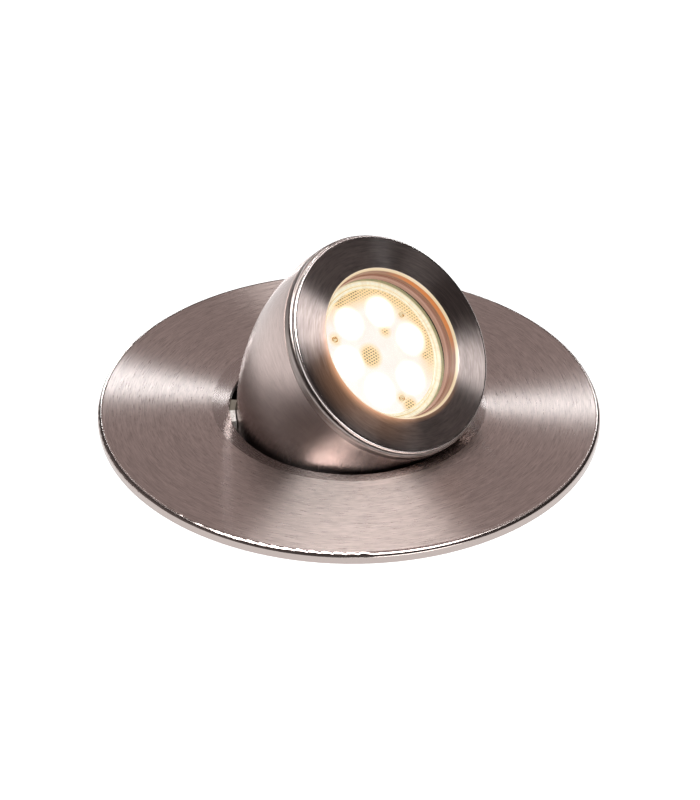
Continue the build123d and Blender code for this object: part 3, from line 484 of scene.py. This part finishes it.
def lens_dots(n, u, v):
    """Fine dots on a triangular grid: one in a dot, and nought between them."""
    slanted = n.math("ADD", u, n.math("MULTIPLY", v, DOT_SLANT))
    dots = n.add("ShaderNodeTexVoronoi", feature="F1")
    n.link(n.join(slanted, n.math("MULTIPLY", v, DOT_STRETCH), 0.0), dots.inputs["Vector"])
    dots.inputs["Scale"].default_value = DOT_SCALE
    dots.inputs["Randomness"].default_value = 0.0
    return n.spread(dots.outputs["Distance"], 1.0, 0.0, 0.22, 0.36)


def lit_lens():
    """Lens over lit diodes: blown-out discs in a pale haze, and golden places with fine dots."""
    n = Nodes("lens_lit")
    away = n.vector("SUBTRACT", n.place(), tuple(HEAD_CENTRE))
    u = n.vector("DOT_PRODUCT", away, (1.0, 0.0, 0.0))
    v = n.vector("DOT_PRODUCT", away, tuple(HEAD_SIDE))
    flat = n.join(u, v, 0.0)

    def near(x, y, inner, outer):
        return n.spread(n.vector("DISTANCE", flat, (x, y, 0.0)), 1.0, 0.0, inner, outer)

    hot = n.fold("MAXIMUM", [near(x, y, *CELL_DISC)
                             for x, y in ring_places(LENS_CIRCLE, LENS_PHASE, 6)])
    places = [near(*place) for place in GOLDEN_PLACES]
    places += [n.math("MULTIPLY", 0.6, near(x, y, *SCREW_DISC))
               for x, y in ring_places(SCREW_CIRCLE, SCREW_PHASE, 3)]
    outward = n.spread(n.vector("LENGTH", flat), 0.0, 1.0, 0.0125, 0.0172)
    rightward = n.vector("DOT_PRODUCT", n.vector("NORMALIZE", flat), tuple(UPPER_RIGHT))
    places.append(n.math("MULTIPLY", outward, n.spread(rightward, 0.0, 0.80, -0.15, 0.45)))
    golden = n.math("MULTIPLY", n.fold("MAXIMUM", places), n.math("SUBTRACT", 1.0, hot))

    veil = n.spread(n.noise(flat, 240.0, 2.0), 0.0, 1.0, *NOISE_SPREAD)
    haze = n.mix(veil, (0.96, 0.85, 0.79), (1.0, 0.93, 0.885))
    lower_left = n.vector("DOT_PRODUCT", flat, tuple(-UPPER_RIGHT))
    haze = n.mix(n.spread(lower_left, 0.0, 1.0, -0.004, 0.016), haze, (1.0, 0.97, 0.95))
    warm = n.mix(n.math("MINIMUM", golden, 0.8), haze, GOLDEN)

    dot = lens_dots(n, u, v)
    drawn = n.math("MULTIPLY", dot, n.spread(golden, 0.0, 1.0, 0.5, 1.1))
    marked = n.mix(drawn, warm, (0.03, 0.02, 0.01))
    heat = n.math("MULTIPLY", n.math("MULTIPLY", hot, hot), 1.4)
    light = n.vector("ADD", marked, n.vector("SCALE", (1.0, 0.97, 0.92), scale=heat))
    base = n.mix(n.math("MULTIPLY", dot, golden), (0.14, 0.12, 0.095), (0.01, 0.01, 0.01))
    n.set(Base_Color=base, Roughness=0.3, Emission_Color=light, Emission_Strength=1.0)
    return n.material


def lit_holder():
    """Trim ring of the lens with the lamp's light painted on as emitted turned bands of cream, and
    a darker gold band as painted shade in a groove.
    """
    n = Nodes("holder_lit")
    radius, _, around, _ = turned_coordinates(n, HEAD_CENTRE, HEAD_AXIS)
    tone = n.ramp(n.spread(radius, 0.0, 1.0, HOLDER_INNER, HOLDER_OUTER), HOLDER_LIGHT_TONES)
    streak = n.noise(n.vector("SCALE", around, scale=22.0), 1.0, 3.0)
    tone = n.mix(n.spread(streak, 0.0, 0.25, 0.4, 0.7), tone, (0.62, 0.42, 0.16))
    n.set(Base_Color=(0.12, 0.10, 0.07, 1.0), Roughness=0.3,
          Emission_Color=tone, Emission_Strength=1.0)
    return n.material


def lit_screw():
    """Plated screw in the lamp's light, its brown and cream specks painted on as emitted light."""
    n = Nodes("screw_lit")
    specks = n.spread(n.noise(n.place(), 1500.0, 2.0), 0.0, 1.0, 0.42, 0.58)
    tone = n.mix(specks, (0.60, 0.27, 0.06), (1.0, 0.84, 0.55))
    n.set(Base_Color=(0.10, 0.07, 0.04, 1.0), Metallic=1.0, Roughness=0.3,
          Emission_Color=tone, Emission_Strength=0.9)
    return n.material


def lit_diodes():
    n = Nodes("diode_lit")
    colour = (1.0, 0.9, 0.7)
    tone = n.mix(n.noise(n.place(), 700.0, 2.0), darker(colour, 0.85), colour)
    n.set(Base_Color=tone, Roughness=0.4, Emission_Color=tone, Emission_Strength=5.0)
    return n.material


def paint(material, *names):
    for name in names:
        slots = nodes[name].data.materials
        slots.clear()
        slots.append(material)


def add_materials():
    paint(brushed_plate(), "cover_plate")
    paint(brushed_shell(), "head_shell")
    paint(bezel_metal(), "bezel")
    paint(collar_metal(), "shell_collar")
    paint(plain_steel("fastener_steel", (0.62, 0.61, 0.60), 0.3),
          "plate_studs", "stud_washers", "stud_nuts", "hinge_bracket", "bracket_screws",
          "hinge_pin", "block_rivets", "back_screws", "side_screws")
    paint(plain_steel("spring_steel", (0.75, 0.74, 0.73), 0.16),
          "retaining_clips", "pin_clip", "friction_spring_left", "friction_spring_right")
    paint(moulded("black_nylon", (0.030, 0.030, 0.032), 0.5), "carrier_ring", "head_base")
    paint(moulded("sleeve_plastic", (0.034, 0.034, 0.036), 0.55), "ground_sleeve", "sleeve_base")
    paint(guide_block(), "spring_block_left", "spring_block_right")
    paint(moulded("grey_nylon", (0.52, 0.50, 0.48), 0.5), "hinge_washers")
    paint(moulded("black_rubber", (0.018, 0.018, 0.018), 0.65, grain=900.0),
          "carrier_seal", "cover_gasket", "bezel_gasket", "glass_gasket", "glass_seat",
          "cable_grommet", "module_gland_seal", "sleeve_gland_seal")
    paint(clear_glass(), "glass")
    paint(lit_lens(), "lens_array")
    paint(lit_holder(), "lens_holder")
    paint(lit_screw(), "lens_screws")
    paint(lit_diodes(), "leds")
    paint(moulded("board_white", (0.8, 0.8, 0.76), 0.5), "led_board")
    paint(moulded("pad_grey", (0.40, 0.42, 0.45), 0.8), "thermal_pad")
    paint(moulded("board_green", (0.03, 0.16, 0.06), 0.4), "driver_board")
    paint(plain_steel("module_alloy", (0.66, 0.66, 0.67), 0.45), "module_housing", "module_back")
    paint(plain_steel("gland_brass", (0.66, 0.62, 0.55), 0.3),
          "module_gland_body", "module_gland_cap")
    paint(moulded("gland_nylon", (0.026, 0.026, 0.028), 0.45),
          "sleeve_gland_body", "sleeve_gland_cap", "sleeve_gland_locknut")


def add_floor():
    """Pale ground with a round cut-out for the sleeve."""
    count = FLOOR_SIDES
    angles = [2 * math.pi * i / count for i in range(count)]
    points = [(radius * math.cos(a), radius * math.sin(a), 0)
              for radius in FLOOR_RINGS for a in angles]
    faces = []
    for start in range(0, count * (len(FLOOR_RINGS) - 1), count):
        for i in range(count):
            j = (i + 1) % count
            faces.append((start + i, start + count + i, start + count + j, start + j))
    mesh = bpy.data.meshes.new("floor")
    mesh.from_pydata(points, [], faces)
    floor = add_object("floor", mesh)
    n = Nodes("floor_white")
    grain = n.noise(n.place(), 40.0, 2.0)
    n.set(Base_Color=n.mix(grain, (0.18, 0.18, 0.18), (0.20, 0.20, 0.20)), Roughness=0.9,
          Emission_Color=n.mix(grain, (0.99, 0.99, 0.99), WHITE), Emission_Strength=1.0)
    mesh.materials.append(n.material)


def towards(azimuth, elevation):
    """Direction at degrees left of the photograph's right, and above the ground."""
    a, e = math.radians(azimuth), math.radians(elevation)
    return (PHOTO_RIGHT * math.cos(a) + PHOTO_AWAY * math.sin(a)) * math.cos(e) + UP * math.sin(e)


def add_world():
    """Dark room with a pale front, left, ceiling and back, as wide soft light."""
    world = bpy.data.worlds.new("studio")
    bpy.context.scene.world = world
    world.use_nodes = True
    n = Nodes(tree=world.node_tree)
    direction = n.add("ShaderNodeTexCoord").outputs["Generated"]
    right, away, up = (n.vector("DOT_PRODUCT", direction, tuple(axis))
                       for axis in (PHOTO_RIGHT, PHOTO_AWAY, UP))
    front = n.spread(away, FRONT_LIGHT, 0.0, -0.75, -0.05)
    ceiling = n.spread(up, 0.0, CEILING_LIGHT, 0.70, 0.95)
    left = n.spread(right, LEFT_LIGHT, 0.0, -0.95, -0.60)
    total = n.math("ADD", n.math("ADD", front, ceiling), n.math("ADD", left, ROOM_LIGHT))
    behind = n.vector("DOT_PRODUCT", direction, tuple(towards(*BACK_PLACE)))
    back = n.spread(behind, 0.0, BACK_LIGHT, 0.80, 0.98)
    pale = n.vector("SCALE", (1.0, 0.86, 0.84), scale=total)
    pink = n.vector("SCALE", (1.0, 0.82, 0.80), scale=back)
    background = n.tree.nodes["Background"]
    n.link(n.vector("ADD", pale, pink), background.inputs["Color"])
    background.inputs["Strength"].default_value = 1.0


def add_softbox(name, azimuth, elevation, width, height, radiance, colour):
    """Light that faces the plate, placed and sized by the angles in which the plate sees it."""
    light = bpy.data.lights.new(name, "AREA")
    light.shape = "RECTANGLE"
    light.size = 2 * LIGHT_DISTANCE * math.tan(math.radians(width / 2))
    light.size_y = 2 * LIGHT_DISTANCE * math.tan(math.radians(height / 2))
    light.energy = radiance * math.pi * light.size * light.size_y
    light.color = colour
    back = towards(azimuth, elevation)
    side = (PHOTO_AWAY if elevation > STEEP else UP).cross(back).normalized()
    set_place(add_object(name, light), side, back.cross(side), back, back * LIGHT_DISTANCE)


bpy.context.scene.view_settings.view_transform = "Standard"
add_camera()
add_materials()
add_floor()
add_world()
for softbox in SOFTBOXES:
    add_softbox(*softbox)
